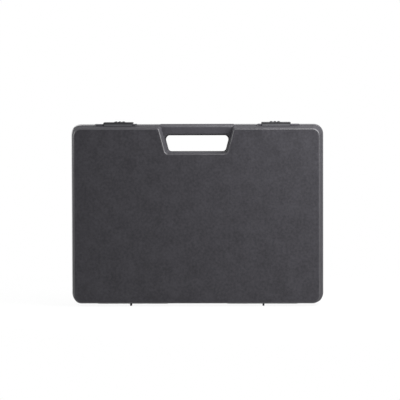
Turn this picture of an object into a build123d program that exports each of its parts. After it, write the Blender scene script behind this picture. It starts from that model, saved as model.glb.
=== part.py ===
"""Plastic transit case: two moulded half shells with an integral carrying handle,
two sliding latches on the top edge, two pinned hinges on the bottom edge and foam inside.

Millimetres. X runs along the width, Z is up as the case is carried, and Y = 0 is the parting
plane: the lid lies in front of it (negative Y) and the base behind it.
"""
from build123d import *
from math import cos, pi, radians, tan
import os

# Case body
case_width = 438.0            # over the rim lips
case_top = 314.5              # top of the rim lips above the ground
bottom_height = 3.3           # underside of the bottom wall at the parting plane
shell_depth = 50.0            # parting plane to outer face, each shell
wall = 2.5
wall_draft = 5.5              # degrees, outer walls at the sides and the top
bottom_draft = 3.0            # degrees, bottom wall
corner_radius = 17.0          # rim corners seen from the front
wall_corner_radius = 13.0     # corners of the walls in front of the rim
face_edge_radius = 3.0        # rounding round the big outer face and the notch in it

# Rim
lip_out = 1.5                 # how far the lip stands out from the wall
lip_depth = 7.0
lip_taper = 13.5              # degrees, from the parting plane down to the wall
tongue_thickness = 1.4
tongue_height = 2.0
tongue_inset = -0.2           # from the wall's outer face to the tongue's outer face
groove_clearance = 0.3
tongue_start_height = 40.0    # the tongue runs on the sides above this and along the top

# Handle
notch_half_width = 66.4       # at the rim top, in the outer face
notch_height = 49.6           # from the rim top down to the notch's floor, in the outer face
notch_slope = 15.0            # degrees, sides of the notch seen from the front
notch_draft = 5.4             # degrees, the notch's sides towards the parting plane
notch_floor_draft = 3.0       # degrees, its floor
notch_corner_radius = 6.0
notch_mouth_radius = 4.0      # where the notch's sides turn into the top
bar_half_depth = 18.0
bar_height = 19.2
bar_overlap = 1.0             # how far the bar's ends reach into the notch's walls
bar_top_radius = 6.0
bar_bottom_radius = 4.0
bar_blend_inset = 0.05        # the blend's arcs end this far inside the notch's walls
hole_corner_radius = 7.5      # between the bar and the notch's sides

# Slide latches
latch_side_gap = 56.5         # from the case's side to the closed slide
latch_length = 51.0
latch_half_depth = 18.3
latch_thickness = 2.9
latch_travel = 12.0
latch_gap = 0.3               # between the slide and its seat
skirt_thickness = 1.4
slide_corner_chamfer = 1.5
slide_chamfer = 0.7
grip_count = 3
grip_pitch = 6.5
grip_width = 6.0
grip_rise = 1.5
grip_half_length = 14.0
grip_offset = 1.9             # from the slide's middle towards the case's middle
seat_half_depth = 16.5
seat_margin = 3.2             # seat beyond the slide's travel
stop_length = 5.0             # fixed block on the lid at each slide's inner end
stop_gap = 1.6
stop_rise = 0.6
stop_side_gap = 2.0           # to the seat's front edge
stop_seam_gap = 1.0           # to the parting plane

# Undercut studs below each slide
stud_length = 8.0
stud_width = 3.6
stud_head_width = 6.4
stud_head_thickness = 1.4
stud_head_gap = 0.4
stud_clearance = 0.3
lid_stud_depth = 9.6          # stud centre to the parting plane
base_stud_depth = 9.0
inner_stud_inset = 6.0        # stud centre to the slide's inner end
outer_stud_inset = 18.0       # to the outer end, so that the closed slide hides its slots

# Hinges
hinge_side_gap = 45.0         # from the case's side to the hinge's outer end
hinge_length = 122.0
base_knuckle_length = 48.0
knuckle_gap = 0.5
knuckle_flats = 8
hinge_axis_height = 2.9
lid_knuckle_radius = 1.75
base_knuckle_radius = 1.7
pin_radius = 0.8
pin_clearance = 0.05
pin_grip = 0.02               # radial, where the base holds the pin
pin_head_radius = 1.3
pin_head_length = 1.2
knuckle_clearance = 0.3
knuckle_web_rise = 1.0        # how far a knuckle's web reaches into the wall

# Standing ribs, one per shell and hinge, side by side so that they pass each other
foot_width = 3.2
foot_gap = 0.6
foot_near = 20.0              # from the parting plane
foot_far = 30.0
foot_chamfer = 0.8

# Foam
foam_side_gap = 3.0
base_foam_thickness = 8.0
lid_foam_thickness = 25.0

SIDES = {"left": -1, "right": 1}
fusing_depth = 0.5            # how far a block reaches into the one that it is fused with
pick_margin = 0.1             # for choosing edges by their place

# Values that follow from the sizes above
wall_top = case_top - lip_out
wall_half_width = case_width / 2 - lip_out
notch_floor = case_top - notch_height
bar_floor = case_top - bar_height
latch_inner_end = case_width / 2 - latch_side_gap - latch_length
latch_middle = latch_inner_end + latch_length / 2
seat_inner_end = latch_inner_end - stop_gap - stop_length
seat_outer_end = latch_inner_end + latch_length + latch_travel + seat_margin
slide_floor = case_top + latch_gap
skirt_back = latch_half_depth - skirt_thickness
skirt_floor = wall_top - skirt_back * tan(radians(wall_draft)) + latch_gap
hinge_middle = case_width / 2 - hinge_side_gap - hinge_length / 2


def upright(depth=0.0):
    """A drawing plane seen from the front, the given depth in front of the parting plane."""
    return Plane(origin=(0, -depth, 0), x_dir=(1, 0, 0), z_dir=(0, -1, 0))


def block(x_range, y_range, z_range):
    """A box between two planes in each direction."""
    size = [high - low for low, high in (x_range, y_range, z_range)]
    middle = [(high + low) / 2 for low, high in (x_range, y_range, z_range)]
    return Pos(*middle) * Box(*size)


def outline(inset, depth=0.0):
    """The wall's rounded outline, moved inward by inset, at a depth in front of the parting."""
    narrowing = depth * tan(radians(wall_draft))
    width = 2 * (wall_half_width - inset - narrowing)
    high = wall_top - inset - narrowing
    low = bottom_height + inset + depth * tan(radians(bottom_draft))
    middle = (high + low) / 2
    radius = wall_corner_radius - inset
    return upright(depth) * Pos(0, middle) * RectangleRounded(width, high - low, radius)


def slanted_edges(solid, depth):
    """The edges of a block that run from front to back, found by their middle's depth."""
    return solid.edges().filter_by(lambda edge: abs(edge.center().Y + depth) < pick_margin)


def tub(inset, depth):
    """A block from the parting plane to depth with drafted sides and rounded corners."""
    half = wall_half_width - inset
    body = block((-half, half), (-depth, 0), (bottom_height + inset, wall_top - inset))
    bottom, *others = body.faces().filter_by(Axis.Y, reverse=True).sort_by(Axis.Z)
    body = draft(others, Plane.XZ, wall_draft)
    bottom = body.faces().filter_by(Axis.Y, reverse=True).sort_by(Axis.Z)[0]
    body = draft(bottom, Plane.XZ, bottom_draft)
    return fillet(slanted_edges(body, depth / 2), wall_corner_radius - inset)


def far_edges(solid):
    """The edges round the face that lies farthest in front of the parting plane."""
    return solid.faces().sort_by(Axis.Y)[0].edges()


def trapezoid(low, high, grow):
    """The notch's cross-section in the outer face, between two heights."""
    slope = radians(notch_slope)
    low_half, high_half = [
        notch_half_width - (case_top - level) * tan(slope) + grow / cos(slope)
        for level in (low, high)
    ]
    points = [(-high_half, high), (-low_half, low), (low_half, low), (high_half, high)]
    return make_face(Polyline(*points, close=True))


def wedge(high, grow):
    """The notch's shape up to a height, its sides and floor drafted towards the parting plane."""
    sketch = upright(shell_depth) * trapezoid(notch_floor - grow, high, grow)
    body = extrude(sketch, -shell_depth)
    outer_face = Plane(origin=(0, -shell_depth, 0), z_dir=(0, 1, 0))
    sides = body.faces().filter_by(Axis.Y, reverse=True).filter_by(Axis.Z, reverse=True)
    body = draft(sides, outer_face, notch_draft)
    floor = body.faces().filter_by(Axis.Y, reverse=True).sort_by(Axis.Z)[0]
    body = draft(floor, outer_face, notch_floor_draft)
    lower = slanted_edges(body, shell_depth / 2).sort_by(Axis.Z)[:2]
    return fillet(lower, notch_corner_radius + grow)


def notch(near_depth, far_depth, grow=0.0):
    """The handle notch between two depths, open at the top, its walls moved outward by grow."""
    body = wedge(case_top + notch_height, grow)
    return body & block((-case_width, case_width), (-far_depth, -near_depth), (0, 2 * case_top))


def hand_hole():
    """The opening under the bar in one shell."""
    hole = wedge(bar_floor, bar_blend_inset)
    upper = slanted_edges(hole, shell_depth / 2).sort_by(Axis.Z)[-2:]
    return fillet(upper, hole_corner_radius)


def bar_profile(inset):
    """Block with a rounded upper front edge over the handle's whole width."""
    reach = notch_half_width + 2 * wall
    low = notch_floor
    depth = bar_half_depth - inset
    bar = block((-reach, reach), (-depth, 0), (low, case_top - inset))
    front_top = bar.edges().filter_by(Axis.X).group_by(Axis.Z)[-1].sort_by(Axis.Y)[0]
    return fillet(front_top, bar_top_radius - inset)


def handle_bar():
    """The front half of the handle bar, blended into the notch's sides."""
    low = bar_floor - hole_corner_radius
    bar = bar_profile(0.0) & block((-case_width, case_width), (-shell_depth, 0), (low, case_top))
    bar -= hand_hole()
    front = bar.faces().sort_by(Axis.Y)[0]
    under = front.edges().filter_by(
        lambda edge: low + pick_margin < edge.center().Z < bar_floor + pick_margin
        and abs(edge.center().X) < notch_half_width - wall
    )
    bar = fillet(under, bar_bottom_radius)
    return bar & notch(0.0, bar_half_depth, grow=bar_overlap)


def bar_hollow():
    """The hollow in the front half of the bar, open to the shell at both ends."""
    inward = (shell_depth - bar_half_depth) * tan(radians(notch_draft))
    half = notch_half_width - inward - wall
    low = bar_floor + wall
    return bar_profile(wall) & block((-half, half), (-shell_depth, 0), (low, case_top))


def rim_lip():
    """The tapered lip round the sides and top, which runs out into the bottom wall."""
    middle = (case_top + bottom_height) / 2
    height = case_top - bottom_height
    ring = upright() * Pos(0, middle) * RectangleRounded(case_width, height, corner_radius)
    return extrude(ring, lip_depth, taper=lip_taper)


def tongue_band(clearance, height):
    """The tongue on the rim, or the groove that takes it, in front of the parting plane."""
    outer = outline(tongue_inset - clearance)
    inner = outline(tongue_inset + tongue_thickness + clearance)
    band = extrude(outer - inner, height)
    low = tongue_start_height - clearance
    band &= block((-case_width, case_width), (-height, 0), (low, case_top))
    handle_reach = notch_half_width + 2 * wall - clearance
    band -= block((-handle_reach, handle_reach), (-height, 0), (notch_floor, case_top))
    for side in SIDES.values():
        latch_zone = sorted((side * (seat_inner_end + clearance), side * (seat_outer_end - clearance)))
        band -= block(latch_zone, (-height, 0), (notch_floor, case_top))
    return band


def latch_seat(side):
    """The raised pad that a slide runs on, flush with the rim lip."""
    x_range = sorted((side * seat_inner_end, side * seat_outer_end))
    pad = block(x_range, (-seat_half_depth, 0), (wall_top - 3 * wall / 2, case_top))
    return chamfer(pad.edges().filter_by(Axis.Z).sort_by(Axis.Y)[:2], slide_corner_chamfer)


def knuckle_spans(side):
    """X ranges of the two lid knuckles and of the base knuckle between them."""
    half = hinge_length / 2
    inner_half = base_knuckle_length / 2
    spans = [
        (hinge_middle - half, hinge_middle - inner_half - knuckle_gap),
        (hinge_middle + inner_half + knuckle_gap, hinge_middle + half),
        (hinge_middle - inner_half, hinge_middle + inner_half),
    ]
    spans = [sorted((side * low, side * high)) for low, high in spans]
    return spans[:2], spans[2]


def knuckle(span, radius):
    """A barrel with eight flats on the hinge axis, and a web up into the front bottom wall."""
    section = Plane.YZ.offset(span[0]) * Pos(0, hinge_axis_height) * RegularPolygon(
        radius, knuckle_flats, major_radius=False, rotation=180 / knuckle_flats
    )
    barrel = extrude(section, span[1] - span[0], dir=(1, 0, 0))
    web_top = bottom_height + knuckle_web_rise
    return barrel + block(span, (-radius, 0), (hinge_axis_height, web_top))


def hinge_bore(span, radius):
    """A round hole along the hinge axis over the given span."""
    length = span[1] - span[0]
    middle = (span[0] + span[1]) / 2
    return Pos(middle, 0, hinge_axis_height) * Rot(0, 90, 0) * Cylinder(radius, length)


def knuckle_room(span, radius):
    """The clearance that a shell leaves for the other shell's knuckle and the gaps beside it."""
    reach = radius / cos(pi / knuckle_flats) + knuckle_clearance
    widened = (span[0] - knuckle_gap, span[1] + knuckle_gap)
    return block(widened, (-reach, reach), (0, hinge_axis_height + reach))


def pin_head_room(side):
    """The clearance round a pin's head, in both shells."""
    inner = hinge_middle + hinge_length / 2
    outer = inner + pin_head_length + 2 * pin_clearance + knuckle_gap
    reach = pin_head_radius + knuckle_clearance
    x_range = sorted((side * inner, side * outer))
    return block(x_range, (-reach, reach), (0, hinge_axis_height + reach))


def foot(side, offset):
    """A standing rib under the front shell, beside the middle of the hinge."""
    middle = side * (hinge_middle + offset * (foot_width + foot_gap) / 2)
    top = bottom_height + foot_far * tan(radians(bottom_draft)) + wall / 2
    rib = block(
        (middle - foot_width / 2, middle + foot_width / 2), (-foot_far, -foot_near), (0, top)
    )
    return chamfer(rib.faces().sort_by(Axis.Z)[0].edges().filter_by(Axis.X), foot_chamfer)


def notched_block():
    """The outer block of a shell with the notch cut down to the bar, its front edges rounded."""
    body = tub(0.0, shell_depth) - notch(bar_half_depth, shell_depth)
    middle_depth = (bar_half_depth + shell_depth) / 2
    mouth = body.edges().filter_by(
        lambda edge: abs(edge.center().Y + middle_depth) < wall
        and abs(edge.center().X) < notch_half_width + wall
        and edge.center().Z > bar_floor
    )
    body = fillet(mouth, notch_mouth_radius)
    return fillet(far_edges(body), face_edge_radius)


def shell_blank():
    """What both shells share, in front of the parting plane: walls, rim, notch and bar."""
    body = notched_block() + rim_lip()
    for side in SIDES.values():
        body += latch_seat(side)
    body -= notch(0.0, bar_half_depth)
    body += handle_bar()
    cavity = tub(wall, shell_depth - wall)
    cavity -= notch(0.0, shell_depth, grow=wall)
    body -= cavity
    body -= bar_hollow()
    return body


def lid_slot(side, stud_x, stud_depth, mouth=False):
    """The slot for one stud through the top wall; a mouth joins it to the parting plane."""
    half = stud_length / 2 + stud_clearance
    half_width = stud_width / 2 + stud_clearance
    low = wall_top - 4 * wall
    z_range = (low, case_top + latch_thickness)
    x_range = sorted((side * (stud_x - half), side * (stud_x + half + latch_travel)))
    slot = block(x_range, (-stud_depth - half_width, -stud_depth + half_width), z_range)
    if mouth:
        open_x = stud_x + latch_travel
        x_range = sorted((side * (open_x - half), side * (open_x + half)))
        slot += block(x_range, (-stud_depth, wall), z_range)
    return slot


def stud_places():
    """Distances of a slide's two pairs of studs from the middle of the case."""
    outer_end = latch_inner_end + latch_length
    return (latch_inner_end + inner_stud_inset, outer_end - outer_stud_inset)


def lid_shell():
    """Front shell with the groove, the slide's straight slots and two knuckles per hinge."""
    body = shell_blank()
    body -= tongue_band(groove_clearance, tongue_height + groove_clearance)
    for side in SIDES.values():
        for stud_x in stud_places():
            body -= lid_slot(side, stud_x, lid_stud_depth)
        stop = sorted((side * seat_inner_end, side * (seat_inner_end + stop_length)))
        stop_y = (stop_side_gap - seat_half_depth, -stop_seam_gap)
        body += block(stop, stop_y, (case_top - fusing_depth, case_top + stop_rise))
        lid_spans, base_span = knuckle_spans(side)
        body -= knuckle_room(base_span, base_knuckle_radius)
        body -= pin_head_room(side)
        for span in lid_spans:
            body += knuckle(span, lid_knuckle_radius)
            body -= hinge_bore(span, pin_radius + pin_clearance)
        body += foot(side, 1)
    return body


def base_shell():
    """Rear shell with the tongue, the bayonet slots and one knuckle per hinge."""
    body = shell_blank()
    for side in SIDES.values():
        for stud_x in stud_places():
            body -= lid_slot(side, stud_x, base_stud_depth, mouth=True)
        lid_spans, base_span = knuckle_spans(side)
        for span in lid_spans:
            body -= knuckle_room(span, lid_knuckle_radius)
        body -= pin_head_room(side)
        body += knuckle(base_span, base_knuckle_radius)
        body -= hinge_bore(base_span, pin_radius + pin_grip)
        body += foot(side, -1)
    body = mirror(body, about=Plane.XZ)
    return body + tongue_band(0.0, tongue_height)


def stud(stud_x, stud_y):
    """An undercut stud: a stem through the wall and a wider head below it."""
    wall_drop = abs(stud_y) * tan(radians(wall_draft))
    head_top = wall_top - wall - wall_drop - stud_head_gap
    half = stud_length / 2
    x_range = (stud_x - half, stud_x + half)
    stem = block(
        x_range, (stud_y - stud_width / 2, stud_y + stud_width / 2),
        (head_top - fusing_depth, slide_floor + fusing_depth),
    )
    head = block(
        x_range,
        (stud_y - stud_head_width / 2, stud_y + stud_head_width / 2),
        (head_top - stud_head_thickness, head_top),
    )
    return stem + head


def latch_slide():
    """The right slide: plate, front skirt, grip ribs and four undercut studs."""
    x_range = (latch_inner_end, latch_inner_end + latch_length)
    y_range = (-latch_half_depth, latch_half_depth)
    plate = block(x_range, y_range, (slide_floor, slide_floor + latch_thickness))
    plate = chamfer(plate.edges().filter_by(Axis.Z), slide_corner_chamfer)
    plate = chamfer(plate.faces().sort_by(Axis.Z)[-1].edges(), slide_chamfer)
    skirt = block(
        (x_range[0] + slide_corner_chamfer, x_range[1] - slide_corner_chamfer),
        (-latch_half_depth, -skirt_back),
        (skirt_floor, slide_floor + latch_thickness / 2),
    )
    body = plate + skirt
    for count in range(grip_count):
        grip_x = latch_middle - grip_offset + (count - (grip_count - 1) / 2) * grip_pitch
        body += grip_rib(grip_x)
    for stud_x in stud_places():
        body += stud(stud_x, -lid_stud_depth)
        body += stud(stud_x, base_stud_depth)
    return body


def grip_rib(grip_x):
    """A low rounded rib across the slide for the thumb."""
    base = slide_floor + latch_thickness
    low = base - fusing_depth
    half = grip_width / 2
    arc = ThreePointArc((-half, base), (0, base + grip_rise), (half, base))
    sides = Polyline((half, base), (half, low), (-half, low), (-half, base))
    section = make_face([arc, sides])
    plane = Plane(origin=(grip_x, grip_half_length, 0), x_dir=(1, 0, 0), z_dir=(0, -1, 0))
    return extrude(plane * section, 2 * grip_half_length)


def hinge_pin():
    """The right hinge's steel pin, headed at its outer end."""
    low = hinge_middle - hinge_length / 2
    high = hinge_middle + hinge_length / 2
    middle = (low + high) / 2
    shank = Pos(middle, 0, hinge_axis_height) * Rot(0, 90, 0) * Cylinder(pin_radius, high - low)
    head_x = high + pin_clearance + pin_head_length / 2
    head = Cylinder(pin_head_radius, pin_head_length + 2 * pin_clearance)
    return shank + Pos(head_x, 0, hinge_axis_height) * Rot(0, 90, 0) * head


def foam_pad(thickness):
    """A flat foam pad on the inside of the big face, cut round the handle notch."""
    floor_depth = shell_depth - wall
    pad = extrude(outline(wall + foam_side_gap, floor_depth), -thickness)
    return pad - notch(floor_depth - thickness - 1, shell_depth, grow=wall + foam_side_gap)


def build_parts():
    """Every piece at its place, by node name."""
    right_slide = latch_slide()
    right_pin = hinge_pin()
    return {
        "lid_shell": lid_shell(),
        "base_shell": base_shell(),
        "latch_slide_left": mirror(right_slide, about=Plane.YZ),
        "latch_slide_right": right_slide,
        "hinge_pin_left": mirror(right_pin, about=Plane.YZ),
        "hinge_pin_right": right_pin,
        "lid_foam": foam_pad(lid_foam_thickness),
        "base_foam": mirror(foam_pad(base_foam_thickness), about=Plane.XZ),
    }


os.makedirs("parts", exist_ok=True)
for name, piece in build_parts().items():
    solids = piece.solids()
    print(name, len(solids), "solid", round(sum(solid.volume for solid in solids)), "mm3")
    export_step(piece, f"parts/{name}.step")
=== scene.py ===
"""Dresses a dark moulded carrying case: grained plastic shells, sliding latches, steel hinge
pins and grey foam, on a plain white studio floor. Metres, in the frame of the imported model.
"""
import math

import bmesh
import bpy
from bpy.props import FloatProperty, FloatVectorProperty, IntProperty, PointerProperty
from mathutils import Matrix, Vector, noise


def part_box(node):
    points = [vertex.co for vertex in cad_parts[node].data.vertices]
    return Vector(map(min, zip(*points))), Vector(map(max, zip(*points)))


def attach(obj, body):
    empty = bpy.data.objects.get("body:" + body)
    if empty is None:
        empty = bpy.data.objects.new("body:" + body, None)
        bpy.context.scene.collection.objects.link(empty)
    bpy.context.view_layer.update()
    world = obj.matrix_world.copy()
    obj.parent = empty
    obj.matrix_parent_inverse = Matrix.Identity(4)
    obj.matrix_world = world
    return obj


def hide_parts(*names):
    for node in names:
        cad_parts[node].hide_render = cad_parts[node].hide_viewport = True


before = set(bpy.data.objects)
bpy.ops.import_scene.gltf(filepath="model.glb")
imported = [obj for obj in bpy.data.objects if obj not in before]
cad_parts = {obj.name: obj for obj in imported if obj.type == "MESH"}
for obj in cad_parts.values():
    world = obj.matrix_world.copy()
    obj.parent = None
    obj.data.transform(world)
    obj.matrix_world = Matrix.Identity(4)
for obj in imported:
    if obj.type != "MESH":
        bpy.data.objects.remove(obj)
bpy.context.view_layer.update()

bl_info = {
    "name": "Plastic transit case",
    "version": (1, 0, 0),
    "blender": (4, 5, 0),
    "location": "View3D > Sidebar > Case",
    "description": "Finishes a moulded carrying case with sliding latches and foam inside",
    "category": "Object",
}

MM = 0.001
WHITE = (1.0, 1.0, 1.0, 1.0)
LID_FOAM_LOW, LID_FOAM_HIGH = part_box("lid_foam")
BASE_FOAM_LOW, BASE_FOAM_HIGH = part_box("base_foam")

# Places on the case, each from where a mask starts to change to where it has changed. Depths
# are distances from the parting plane, heights are above the ground, and ends are along X.
LIP_DEPTHS = (7.2 * MM, 7.8 * MM)
# Ends along X over which the lips' painted highlight fades, stronger on the left where the
# light falls
LIP_LIGHT_ENDS = (-0.2, 0.2)
SEAT_HEIGHTS = (312.6 * MM, 313.2 * MM)
SEAT_DEPTHS = (15.5 * MM, 16.2 * MM)
NOTCH_SLOPE = 0.27            # how far each side of the notch leans out per metre of height
NOTCH_SIDES = (148 * MM, 154 * MM)
NOTCH_HEIGHTS = (259 * MM, 264 * MM)
NOTCH_DEPTHS = (46 * MM, 49.5 * MM)
# Heights over which the slides' skirts are painted lighter, as a highlight along the lip's line
SKIRT_HEIGHTS = (314.0 * MM, 315.2 * MM)
GATE_SIDE = 3.8 * MM
GATE_HEIGHT = 154.6 * MM
GATE_NUB_RADIUS = 1.5 * MM

# Sizes of the plastic's finer detail
FINE_GRAIN = 0.3 * MM
MOTTLE = 4.5 * MM
FLOW_CLOUD = 26 * MM
FACE_WAVE = 42 * MM
FACE_WAVE_DEPTH = 0.8 * MM
GRAIN_WARP = 0.0012           # how far the pebbles are pushed out of their places
SLIDE_GRAIN = 0.35 * MM
SLIDE_GRAIN_DEPTH = 0.02 * MM
SLIDE_RUB = 2.2 * MM

# Sizes of the pins' and the foam's finer detail
DRAW_LINE = 0.15 * MM
DRAW_LINE_DEPTH = 0.01 * MM
FOAM_CELL_DEPTH = 0.35 * MM
FOAM_CLOUD = 18 * MM
SMALL_CELLS = 2.3             # how many of the foam's small cells go into a large one

# Form of the foam
CRATE_RIPPLE = 0.4 * MM
CRATE_RIPPLE_WIDTH = 15 * MM
CRATE_SWING = 0.98            # share of the height left over the backing that the waves take
PAD_RIPPLE = 0.3 * MM
PAD_RIPPLE_WIDTH = 30 * MM
PAD_EDGE_DROP = 0.8 * MM
PAD_EDGE_WIDTH = 4 * MM
PAD_STEP = 4 * MM
SHARP_ANGLE = math.radians(50)
WELD_DISTANCE = 1e-6

# Each soft light's place, the point that it faces, its width in metres and its power in watts
LIGHTS = {
    "key_light": ((0.42, -0.26, 0.6), (0.15, 0.0, 0.24), 0.65, 10.6),
    "side_light": ((-0.6, -0.065, 0.42), (0.06, -0.03, 0.29), 0.25, 1.4),
    "top_light": ((0.45, 0.9, 1.1), (0.1, 0.0, 0.3), 1.0, 6.0),
    "rim_light": ((-0.7, 1.2, 0.7), (-0.2, 0.0, 0.2), 0.9, 3.0),
}
ROOM_LIGHT = 0.41
SEEN_WHITE = 1.0

# Floor that rises into the backdrop, and how much shows through it, as a distance from the
# middle and the share there
FLOOR_HALF_WIDTH = 6.0
FLOOR_FRONT = -4.0
BACKDROP_DEPTH = 4.0
BACKDROP_HEIGHT = 6.0
BACKDROP_BEND = 1.5
BEND_STEPS = 16
CLEAR_NEAR = (0.25, 0.94)
CLEAR_FAR = (0.8, 1.0)

# The photograph's view of the case
VIEW_AZIMUTH = math.radians(1.5)
VIEW_ELEVATION = math.radians(3.0)
VIEW_ROLL = math.radians(-0.16)
VIEW_DISTANCE = 5.0
VIEW_TARGET = Vector((0.0046, 0.0, 0.1822))
VIEW_WIDTH = 0.6966           # metres across the picture in the parting plane
VIEW_LIMIT = 50.0             # farthest distance that the camera sees
SENSOR_WIDTH = 36.0


# Properties that a user would change

class CaseSizes(bpy.types.PropertyGroup):
    """Sizes of the surface grain and of the foam."""

    grain_size: FloatProperty(
        name="Grain size", description="Width of one pebble of the moulded grain",
        default=1.1 * MM, min=0.2 * MM, max=5 * MM, precision=5, unit="LENGTH")
    grain_depth: FloatProperty(
        name="Grain depth", description="Depth of the moulded grain",
        default=0.05 * MM, min=0.0, max=MM, precision=6, unit="LENGTH")
    gate_radius: FloatProperty(
        name="Gate mark radius", description="Radius of the dome that the moulding gate leaves",
        default=12 * MM, min=MM, max=20 * MM, precision=5, unit="LENGTH")
    foam_pitch: FloatProperty(
        name="Foam pitch", description="Distance between the peaks of the egg-crate foam",
        default=32 * MM, min=10 * MM, max=80 * MM, precision=4, unit="LENGTH")
    foam_base: FloatProperty(
        name="Foam backing", description="Thickness of the egg-crate foam under its valleys",
        default=9 * MM, min=2 * MM, max=20 * MM, precision=4, unit="LENGTH")
    foam_cell: FloatProperty(
        name="Foam cell", description="Size of the foam's open cells",
        default=0.9 * MM, min=0.2 * MM, max=4 * MM, precision=5, unit="LENGTH")
    foam_steps: IntProperty(
        name="Foam steps", description="Mesh steps along one pitch of the egg-crate foam",
        default=12, min=6, max=40)


class CaseColours(bpy.types.PropertyGroup):
    """Colours of the plastics, the foam, the pins and the studio."""

    shell: FloatVectorProperty(
        name="Shells", description="Colour of the two moulded shells",
        subtype="COLOR", size=3, min=0.0, max=1.0, default=(0.0285, 0.0275, 0.0318))
    slide: FloatVectorProperty(
        name="Slides", description="Colour of the sliding latches",
        subtype="COLOR", size=3, min=0.0, max=1.0, default=(0.026, 0.026, 0.028))
    foam: FloatVectorProperty(
        name="Foam", description="Colour of the foam",
        subtype="COLOR", size=3, min=0.0, max=1.0, default=(0.055, 0.056, 0.062))
    steel: FloatVectorProperty(
        name="Pins", description="Colour of the hinge pins",
        subtype="COLOR", size=3, min=0.0, max=1.0, default=(0.56, 0.56, 0.57))
    studio: FloatVectorProperty(
        name="Studio", description="Colour of the floor and the backdrop",
        subtype="COLOR", size=3, min=0.0, max=1.0, default=(0.9, 0.9, 0.9))


# Shader maths

class Wire:
    """A socket in a material. Arithmetic on it adds the nodes that work it out."""

    def __init__(self, paint, socket):
        self.paint = paint
        self.socket = socket

    def maths(self, operation, *values):
        return self.paint.node("ShaderNodeMath", {"operation": operation}, values)

    def __add__(self, other):
        return self.maths("ADD", self, other)

    __radd__ = __add__

    def __sub__(self, other):
        return self.maths("SUBTRACT", self, other)

    def __rsub__(self, other):
        return self.maths("SUBTRACT", other, self)

    def __mul__(self, other):
        return self.maths("MULTIPLY", self, other)

    __rmul__ = __mul__

    def __abs__(self):
        return self.maths("ABSOLUTE", self)

    def larger(self, other):
        """The larger of this and another value."""
        return self.maths("MAXIMUM", self, other)

    def root(self):
        """The square root."""
        return self.maths("SQRT", self)

    def ramp(self, low, high, to_low=0.0, to_high=1.0):
        """Runs from to_low at the value low to to_high at the value high, and stays there."""
        settings = {"interpolation_type": "SMOOTHSTEP"}
        values = [self, low, high, to_low, to_high]
        return self.paint.node("ShaderNodeMapRange", settings, values)

    def fall(self, low, high):
        """Runs from 1 at the value low to 0 at the value high."""
        return self.ramp(low, high, 1.0, 0.0)


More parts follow.
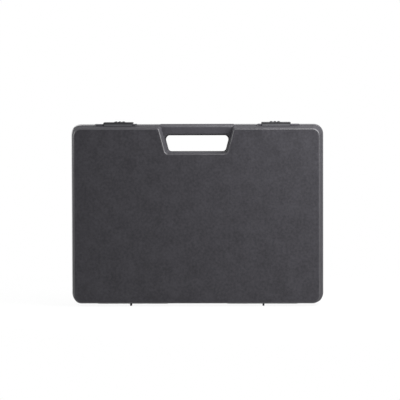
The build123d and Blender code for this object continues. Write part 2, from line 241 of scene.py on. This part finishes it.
class Paint:
    """The node tree of a material, or of the world, under construction."""

    def __init__(self, holder):
        holder.use_nodes = True
        self.holder = holder
        self.tree = holder.node_tree
        self.tree.nodes.clear()

    def node(self, kind, settings=None, inputs=(), output=0):
        """Adds a node, sets its settings and then its sockets, and returns one output."""
        made = self.tree.nodes.new(kind)
        for name, value in (settings or {}).items():
            setattr(made, name, value)
        pairs = inputs.items() if isinstance(inputs, dict) else enumerate(inputs)
        for key, value in pairs:
            if isinstance(value, Wire):
                self.tree.links.new(value.socket, made.inputs[key])
            else:
                made.inputs[key].default_value = value
        return Wire(self, made.outputs[output]) if len(made.outputs) else None

    def sisters(self, wire, *outputs):
        """Other outputs of the node that a wire comes from."""
        return [Wire(self, wire.socket.node.outputs[output]) for output in outputs]

    def place(self):
        """The point's place in the row's frame."""
        return self.node("ShaderNodeTexCoord", output="Object")

    def split(self, vector):
        """The three parts of a vector."""
        x = self.node("ShaderNodeSeparateXYZ", None, {"Vector": vector})
        return x, *self.sisters(x, 1, 2)

    def noise(self, place, size, detail=3.0, rough=0.6):
        """Soft noise from 0 to 1 with features of about the given size in metres."""
        inputs = {"Vector": place, "Scale": 1 / size, "Detail": detail, "Roughness": rough}
        return self.node("ShaderNodeTexNoise", None, inputs)

    def squeezed(self, place, share):
        """A place with its X squeezed, so that what is drawn there runs along X."""
        inputs = {"Vector": place, "Scale": (share, 1.0, 1.0)}
        return self.node("ShaderNodeMapping", None, inputs)

    def colour(self, mask, low, high):
        """A colour that runs from low, a colour or a wire, to high with the mask."""
        start = low if isinstance(low, Wire) else (*low, 1.0)
        inputs = {0: mask, 6: start, 7: (*high, 1.0)}
        return self.node("ShaderNodeMix", {"data_type": "RGBA"}, inputs, 2)

    def bump(self, height, depth, under=None):
        """A normal tilted by a height that runs from 0 to 1 over the given depth in metres."""
        inputs = {"Strength": 1.0, "Distance": depth, "Height": height}
        if under is not None:
            inputs["Normal"] = under
        return self.node("ShaderNodeBump", None, inputs)

    def surface(self, **sockets):
        """Ends the material in a principled surface, with socket names in plain words."""
        inputs = {name.replace("_", " "): value for name, value in sockets.items()}
        shader = self.node("ShaderNodeBsdfPrincipled", None, inputs)
        self.node("ShaderNodeOutputMaterial", None, {"Surface": shader})
        return self.holder

    def parts(self):
        """X, the distance from the parting plane, and the height of the point."""
        x, y, z = self.split(self.place())
        return x, abs(y), z

    def lean(self):
        """How far a surface of the closed case faces the front or the back, from 0 to 1."""
        return abs(self.split(self.node("ShaderNodeTexCoord", output="Normal"))[1])

    def edges(self):
        """1 on the rounded edges round the big faces, and 0 on the faces and the walls."""
        lean = self.lean()
        return lean.ramp(0.4, 0.7) * lean.fall(0.94, 0.995)

    def rim(self):
        """1 on the tapered lips of the two shells where they meet, painted lighter as a
        highlight and made glossier, fading towards the right.
        """
        x, depth, height = self.parts()
        # The lips' painted highlight and their gloss fade towards the right, where less light
        # falls.
        lip_light_fade = x.ramp(*LIP_LIGHT_ENDS, 1.0, 0.35)
        return depth.fall(*LIP_DEPTHS) * self.lean().ramp(0.12, 0.2) * lip_light_fade

    def seat_fronts(self):
        """1 on the narrow front faces of the pads that the slides run on, which are painted
        lighter as a highlight.
        """
        x, depth, height = self.parts()
        faces_front = self.lean().ramp(0.9, 0.98)
        return height.ramp(*SEAT_HEIGHTS) * depth.ramp(*SEAT_DEPTHS) * faces_front

    def notch(self):
        """1 in the handle notch, whose bar and walls are painted lighter as light falling into
        the recess, and 0 on the rest of the shells.
        """
        x, depth, height = self.parts()
        inside = (abs(x) + height * NOTCH_SLOPE).fall(*NOTCH_SIDES)
        return inside * height.ramp(*NOTCH_HEIGHTS) * depth.fall(*NOTCH_DEPTHS)

    def gate_mark(self, place, radius):
        """The low dome that the moulding gate leaves in each big face, and the nub on it."""
        x, y, z = self.split(place)
        x = x - GATE_SIDE
        z = z - GATE_HEIGHT
        away = (x * x + z * z).root()
        return away.fall(0.0, radius) + away.ramp(0.0, GATE_NUB_RADIUS, 0.3, 0.0)

    def seen(self):
        """1 for rays that the camera sees straight, in a reflection or through glass."""
        straight = self.node("ShaderNodeLightPath", output="Is Camera Ray")
        glossy, through = self.sisters(straight, "Is Glossy Ray", "Is Transmission Ray")
        return straight.larger(glossy.larger(through))


def new_paint(name):
    """Starts a new material."""
    return Paint(bpy.data.materials.new(name))


def shaded(colour, factor):
    """A colour made lighter or darker."""
    return tuple(min(1.0, channel * factor) for channel in colour)


# Materials

def grained_plastic(colour, sizes):
    """Moulded plastic with a fine pebbled grain, faint flow clouds and polished edges, and
    painted highlights on the lips, the slides' pads and the handle notch.
    """
    paint = new_paint("shell_plastic")
    place = paint.place()
    fine = paint.noise(place, FINE_GRAIN)
    clouds = paint.noise(place, FLOW_CLOUD, rough=0.55)
    mottle = paint.noise(place, MOTTLE, rough=0.65)
    edge = paint.edges()
    rim = paint.rim()

    tone = clouds * 0.3 + mottle * 0.5 + fine * 0.2
    base = paint.colour(tone.ramp(0.32, 0.68), shaded(colour, 0.72), shaded(colour, 1.3))
    # Painted highlight: the lips, the pads' front faces and the handle notch are painted
    # lighter where light catches them.
    painted_highlight = (rim * 0.35 + paint.notch() * 0.3).larger(paint.seat_fronts())
    base = paint.colour(painted_highlight, base, shaded(colour, 2.6))

    wall = paint.lean().fall(0.3, 0.6) - rim
    roughness = 0.54 + (mottle - 0.5) * 0.14 + (clouds - 0.5) * 0.08
    roughness = roughness - edge * 0.24 - rim * 0.25 + wall.larger(0.0) * 0.3

    grain = (1 - grain_pebbles(paint, place, sizes.grain_size) * 1.1) * 0.75 + fine * 0.25
    grain = grain * (1 - edge.larger(rim) * 0.8)
    normal = paint.bump(grain, sizes.grain_depth)
    waves = paint.noise(place, FACE_WAVE, 1.0, 0.4)
    waves = waves + paint.gate_mark(place, sizes.gate_radius) * 0.35
    normal = paint.bump(waves, FACE_WAVE_DEPTH, normal)
    return paint.surface(
        Base_Color=base, Roughness=roughness, Normal=normal, Specular_IOR_Level=0.12,
        Coat_Weight=edge * 0.8 + rim * 0.7, Coat_Roughness=0.38)


def grain_pebbles(paint, place, size):
    """Distance from the middle of each pebble of the grain, in unevenly placed pebbles."""
    warp = paint.node("ShaderNodeTexNoise", None, {"Vector": place, "Scale": 0.5 / size}, 1)
    shifted = paint.node(
        "ShaderNodeMix", {"data_type": "VECTOR"}, {0: GRAIN_WARP, 4: place, 5: warp}, 1)
    return paint.node(
        "ShaderNodeTexVoronoi", {"feature": "SMOOTH_F1"},
        {"Vector": shifted, "Scale": 1 / size, "Smoothness": 0.6})


def slide_plastic(colour):
    """The slides' smoother plastic, with fine draw marks from the mould, and the skirts painted
    lighter at the bottom as a highlight along the lip's line.
    """
    paint = new_paint("slide_plastic")
    place = paint.place()
    fine = paint.noise(place, SLIDE_GRAIN)
    rubs = paint.noise(paint.squeezed(place, 0.15), SLIDE_RUB)
    base = paint.colour(rubs.ramp(0.35, 0.7), shaded(colour, 0.85), shaded(colour, 1.25))
    x, depth, height = paint.parts()
    # Painted highlight: the skirts' lower band is painted lighter, varied by the rub streaks.
    painted_skirt_highlight = height.fall(*SKIRT_HEIGHTS) * (0.6 + rubs * 0.4)
    base = paint.colour(painted_skirt_highlight, base, shaded(colour, 3.5))
    return paint.surface(
        Base_Color=base, Roughness=0.6 + (rubs - 0.5) * 0.18,
        Normal=paint.bump(fine, SLIDE_GRAIN_DEPTH), Specular_IOR_Level=0.12)


def drawn_steel(colour):
    """Drawn steel wire with fine lines along the pin."""
    paint = new_paint("pin_steel")
    lines = paint.noise(paint.squeezed(paint.place(), 0.04), DRAW_LINE)
    base = paint.colour(lines, shaded(colour, 0.82), shaded(colour, 1.1))
    return paint.surface(
        Base_Color=base, Metallic=1.0, Roughness=0.28 + lines * 0.16,
        Normal=paint.bump(lines, DRAW_LINE_DEPTH))


def open_cell_foam(colour, sizes):
    """Charcoal polyurethane foam, with painted shade in its open cells between lighter struts.
    """
    paint = new_paint("grey_foam")
    place = paint.place()
    large, small = [
        paint.node(
            "ShaderNodeTexVoronoi", {"feature": "DISTANCE_TO_EDGE"},
            {"Vector": place, "Scale": count / sizes.foam_cell})
        for count in (1, SMALL_CELLS)
    ]
    struts = large.fall(0.02, 0.22) * 0.65 + small.fall(0.02, 0.2) * 0.35
    # Painted shade: the open cells' hollows are darker and the struts between them lighter.
    tone = struts * 0.75 + paint.noise(place, FOAM_CLOUD, 2.0, 0.5) * 0.25
    base = paint.colour(tone.ramp(0.1, 0.8), shaded(colour, 0.45), shaded(colour, 1.35))
    return paint.surface(
        Base_Color=base, Roughness=0.95, Normal=paint.bump(struts, FOAM_CELL_DEPTH),
        Specular_IOR_Level=0.15)


# Meshes

def new_piece(name, mesh, body, material):
    """Adds a mesh to the scene as a piece that rides on a body."""
    piece = bpy.data.objects.new(name, mesh)
    bpy.context.scene.collection.objects.link(piece)
    mesh.materials.append(material)
    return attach(piece, body)


def finish_node(node, material):
    """Gives a carried-over node its material in every slot."""
    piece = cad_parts[node]
    piece.data.materials.clear()
    piece.data.materials.append(material)


def foam_block(low, high, outward, rise, step_size):
    """A closed foam block over a box, whose free face rises by a function of X and Z."""
    columns = max(2, round((high.x - low.x) / step_size))
    rows = max(2, round((high.z - low.z) / step_size))
    back = high.y if outward < 0 else low.y
    grid = bmesh.new()
    front_rows = []
    back_rows = []
    for row in range(rows + 1):
        z = low.z + (high.z - low.z) * row / rows
        front_row = []
        back_row = []
        for column in range(columns + 1):
            x = low.x + (high.x - low.x) * column / columns
            front_row.append(grid.verts.new((x, back + outward * rise(x, z), z)))
            back_row.append(grid.verts.new((x, back, z)))
        front_rows.append(front_row)
        back_rows.append(back_row)
    for layer, flip in ((front_rows, outward > 0), (back_rows, outward < 0)):
        for row in range(rows):
            for column in range(columns):
                corners = [
                    layer[row][column], layer[row][column + 1],
                    layer[row + 1][column + 1], layer[row + 1][column],
                ]
                grid.faces.new(corners[::-1] if flip else corners)
    bmesh.ops.bridge_loops(grid, edges=[edge for edge in grid.edges if edge.is_boundary])
    bmesh.ops.recalc_face_normals(grid, faces=grid.faces)
    mesh = bpy.data.meshes.new("foam")
    grid.to_mesh(mesh)
    grid.free()
    return mesh


def welded_copy(node):
    """A temporary copy of a node's mesh whose faces share their corners, for a clean cut."""
    shell = bmesh.new()
    shell.from_mesh(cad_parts[node].data)
    bmesh.ops.remove_doubles(shell, verts=shell.verts, dist=WELD_DISTANCE)
    mesh = bpy.data.meshes.new("cutter")
    shell.to_mesh(mesh)
    shell.free()
    copy = bpy.data.objects.new("cutter", mesh)
    copy.matrix_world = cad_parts[node].matrix_world
    bpy.context.scene.collection.objects.link(copy)
    return copy


def cut_to_node(piece, node):
    """Keeps only what lies inside a node's solid, and applies the cut."""
    cutter = welded_copy(node)
    cut = piece.modifiers.new("outline", "BOOLEAN")
    cut.operation = "INTERSECT"
    cut.solver = "MANIFOLD"
    cut.object = cutter
    dependency = bpy.context.evaluated_depsgraph_get()
    mesh = bpy.data.meshes.new_from_object(piece.evaluated_get(dependency))
    piece.modifiers.clear()
    bpy.data.objects.remove(cutter)
    if not mesh.polygons:
        raise RuntimeError(f"nothing of {piece.name} lies inside {node}")
    piece.data = mesh


# Operators

class FinishShells(bpy.types.Operator):
    """Gives both shells their grained plastic."""

    bl_idname = "case.finish_shells"
    bl_label = "Finish shells"

    def execute(self, context):
        scene = context.scene
        material = grained_plastic(scene.case_colours.shell, scene.case_sizes)
        finish_node("lid_shell", material)
        finish_node("base_shell", material)
        return {"FINISHED"}


class FinishSlides(bpy.types.Operator):
    """Gives the two sliding latches their smoother plastic."""

    bl_idname = "case.finish_slides"
    bl_label = "Finish slides"

    def execute(self, context):
        material = slide_plastic(context.scene.case_colours.slide)
        finish_node("latch_slide_left", material)
        finish_node("latch_slide_right", material)
        return {"FINISHED"}


class FinishPins(bpy.types.Operator):
    """Gives the hinge pins their drawn steel."""

    bl_idname = "case.finish_pins"
    bl_label = "Finish hinge pins"

    def execute(self, context):
        material = drawn_steel(context.scene.case_colours.steel)
        finish_node("hinge_pin_left", material)
        finish_node("hinge_pin_right", material)
        return {"FINISHED"}


class MakeFoam(bpy.types.Operator):
    """Makes the egg-crate foam in the lid and the flat pad in the base."""

    bl_idname = "case.make_foam"
    bl_label = "Make foam"

    def execute(self, context):
        scene = context.scene
        sizes = scene.case_sizes
        material = open_cell_foam(scene.case_colours.foam, sizes)
        self.make_lid_foam(sizes, material)
        self.make_base_foam(material)
        return {"FINISHED"}

    def make_lid_foam(self, sizes, material):
        """Crossed waves on a backing, with a slight ripple."""
        thickness = LID_FOAM_HIGH.y - LID_FOAM_LOW.y
        swing = (thickness - sizes.foam_base) / 2 * CRATE_SWING
        pitch = sizes.foam_pitch

        def rise(x, z):
            wave_x = math.sin(2 * math.pi * x / pitch)
            wave_z = math.sin(2 * math.pi * z / pitch)
            ripple = noise.noise(Vector((x, 0.0, z)) / CRATE_RIPPLE_WIDTH) - 1
            return thickness - swing * (1 - wave_x * wave_z) + CRATE_RIPPLE * ripple

        mesh = foam_block(LID_FOAM_LOW, LID_FOAM_HIGH, 1, rise, pitch / sizes.foam_steps)
        piece = new_piece("lid_foam_crate", mesh, "lid", material)
        self.fit(piece, "lid_foam")

    def make_base_foam(self, material):
        """A flat pad with slightly rounded edges and a slight ripple."""
        low, high = BASE_FOAM_LOW, BASE_FOAM_HIGH
        thickness = high.y - low.y

        def rise(x, z):
            edge = min(x - low.x, high.x - x, z - low.z, high.z - z)
            drop = PAD_EDGE_DROP * math.exp(-edge / PAD_EDGE_WIDTH)
            ripple = noise.noise(Vector((x, 1.0, z)) / PAD_RIPPLE_WIDTH) - 1
            return thickness - drop + PAD_RIPPLE * ripple

        mesh = foam_block(low, high, -1, rise, PAD_STEP)
        piece = new_piece("base_foam_pad", mesh, "base", material)
        self.fit(piece, "base_foam")

    def fit(self, piece, node):
        """Cuts a foam piece to its node's outline and lets it stand for the node."""
        cut_to_node(piece, node)
        piece.data.shade_smooth()
        piece.data.set_sharp_from_angle(angle=SHARP_ANGLE)
        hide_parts(node)


class SetStage(bpy.types.Operator):
    """Makes the white floor and backdrop, the soft lights, the world and the camera."""

    bl_idname = "case.set_stage"
    bl_label = "Set stage"

    def execute(self, context):
        self.make_floor(context.scene.case_colours.studio)
        for name, light in LIGHTS.items():
            self.make_light(name, *light)
        self.make_world()
        self.make_camera(context.scene)
        return {"FINISHED"}

    def make_floor(self, colour):
        """A floor that rises into a backdrop in one sweep."""
        profile = [(FLOOR_FRONT, 0.0)]
        for step in range(BEND_STEPS + 1):
            turn = math.pi / 2 * step / BEND_STEPS
            profile.append((
                BACKDROP_DEPTH - BACKDROP_BEND * (1 - math.sin(turn)),
                BACKDROP_BEND * (1 - math.cos(turn)),
            ))
        profile.append((BACKDROP_DEPTH, BACKDROP_HEIGHT))
        sides = (-FLOOR_HALF_WIDTH, FLOOR_HALF_WIDTH)
        sweep = bmesh.new()
        rows = [[sweep.verts.new((side, y, z)) for side in sides] for y, z in profile]
        for lower, upper in zip(rows, rows[1:]):
            sweep.faces.new((lower[0], lower[1], upper[1], upper[0]))
        mesh = bpy.data.meshes.new("studio_floor")
        sweep.to_mesh(mesh)
        sweep.free()
        mesh.shade_smooth()
        mesh.materials.append(self.floor_material(colour))
        floor = bpy.data.objects.new("studio_floor", mesh)
        bpy.context.scene.collection.objects.link(floor)

    def floor_material(self, colour):
        """A pale floor that keeps a part of the soft shadow, with white showing through it.

        The case stands upright, so its open lid hangs below the floor. The camera sees it there
        through the floor, and the lights reach it.
        """
        paint = new_paint("studio_floor")
        plain = paint.node("ShaderNodeBsdfDiffuse", None, {"Color": (*colour, 1.0)})
        clear = paint.node("ShaderNodeBsdfTransparent")
        away = paint.node(
            "ShaderNodeVectorMath", {"operation": "LENGTH"}, [paint.place()], "Value")
        shadow = paint.node("ShaderNodeLightPath", output="Is Shadow Ray")
        near, near_share = CLEAR_NEAR
        far, far_share = CLEAR_FAR
        share = paint.seen().larger(shadow) * away.ramp(near, far, near_share, far_share)
        mixed = paint.node("ShaderNodeMixShader", None, [share, plain, clear])
        paint.node("ShaderNodeOutputMaterial", None, {"Surface": mixed})
        return paint.holder

    def make_light(self, name, place, target, size, power):
        """A square soft light at a place, turned to the point that it faces."""
        light = bpy.data.lights.new(name, "AREA")
        light.size = size
        light.energy = power
        lamp = bpy.data.objects.new(name, light)
        lamp.location = place
        aim = Vector(target) - Vector(place)
        lamp.rotation_mode = "QUATERNION"
        lamp.rotation_quaternion = aim.to_track_quat("-Z", "Y")
        bpy.context.scene.collection.objects.link(lamp)

    def make_world(self):
        """A dim white room for the light, and plain white where it is seen."""
        world = bpy.data.worlds.new("studio_world")
        bpy.context.scene.world = world
        paint = Paint(world)
        room, white = [
            paint.node("ShaderNodeBackground", None, {"Color": WHITE, "Strength": level})
            for level in (ROOM_LIGHT, SEEN_WHITE)
        ]
        mixed = paint.node("ShaderNodeMixShader", None, [paint.seen(), room, white])
        paint.node("ShaderNodeOutputWorld", None, {"Surface": mixed})

    def make_camera(self, scene):
        """The camera at the photograph's view of the case, and the plain view transform."""
        camera = bpy.data.cameras.new("camera")
        camera.sensor_width = SENSOR_WIDTH
        camera.lens = SENSOR_WIDTH * VIEW_DISTANCE / VIEW_WIDTH
        camera.clip_end = VIEW_LIMIT
        holder = bpy.data.objects.new("camera", camera)
        away = Vector((
            math.sin(VIEW_AZIMUTH) * math.cos(VIEW_ELEVATION),
            -math.cos(VIEW_AZIMUTH) * math.cos(VIEW_ELEVATION),
            math.sin(VIEW_ELEVATION),
        ))
        turn = (-away).to_track_quat("-Z", "Y").to_matrix().to_4x4()
        roll = Matrix.Rotation(VIEW_ROLL, 4, "Z")
        place = Matrix.Translation(VIEW_TARGET + away * VIEW_DISTANCE)
        holder.matrix_world = place @ turn @ roll
        scene.collection.objects.link(holder)
        scene.camera = holder
        scene.view_settings.view_transform = "Standard"


class CasePanel(bpy.types.Panel):
    """Lists the case's steps, sizes and colours."""

    bl_idname = "VIEW3D_PT_case"
    bl_label = "Plastic transit case"
    bl_space_type = "VIEW_3D"
    bl_region_type = "UI"
    bl_category = "Case"

    def draw(self, context):
        for step in STEPS:
            self.layout.operator(step.bl_idname)
        for group in (context.scene.case_sizes, context.scene.case_colours):
            for name in group.__annotations__:
                self.layout.prop(group, name)


STEPS = (FinishShells, FinishSlides, FinishPins, MakeFoam, SetStage)
CLASSES = (CaseSizes, CaseColours, *STEPS, CasePanel)


def register():
    for kind in CLASSES:
        bpy.utils.register_class(kind)
    bpy.types.Scene.case_sizes = PointerProperty(type=CaseSizes)
    bpy.types.Scene.case_colours = PointerProperty(type=CaseColours)


def unregister():
    del bpy.types.Scene.case_colours
    del bpy.types.Scene.case_sizes
    for kind in reversed(CLASSES):
        bpy.utils.unregister_class(kind)


def main():
    register()
    bpy.ops.case.finish_shells()
    bpy.ops.case.finish_slides()
    bpy.ops.case.finish_pins()
    bpy.ops.case.make_foam()
    bpy.ops.case.set_stage()


if __name__ == "__main__":
    main()
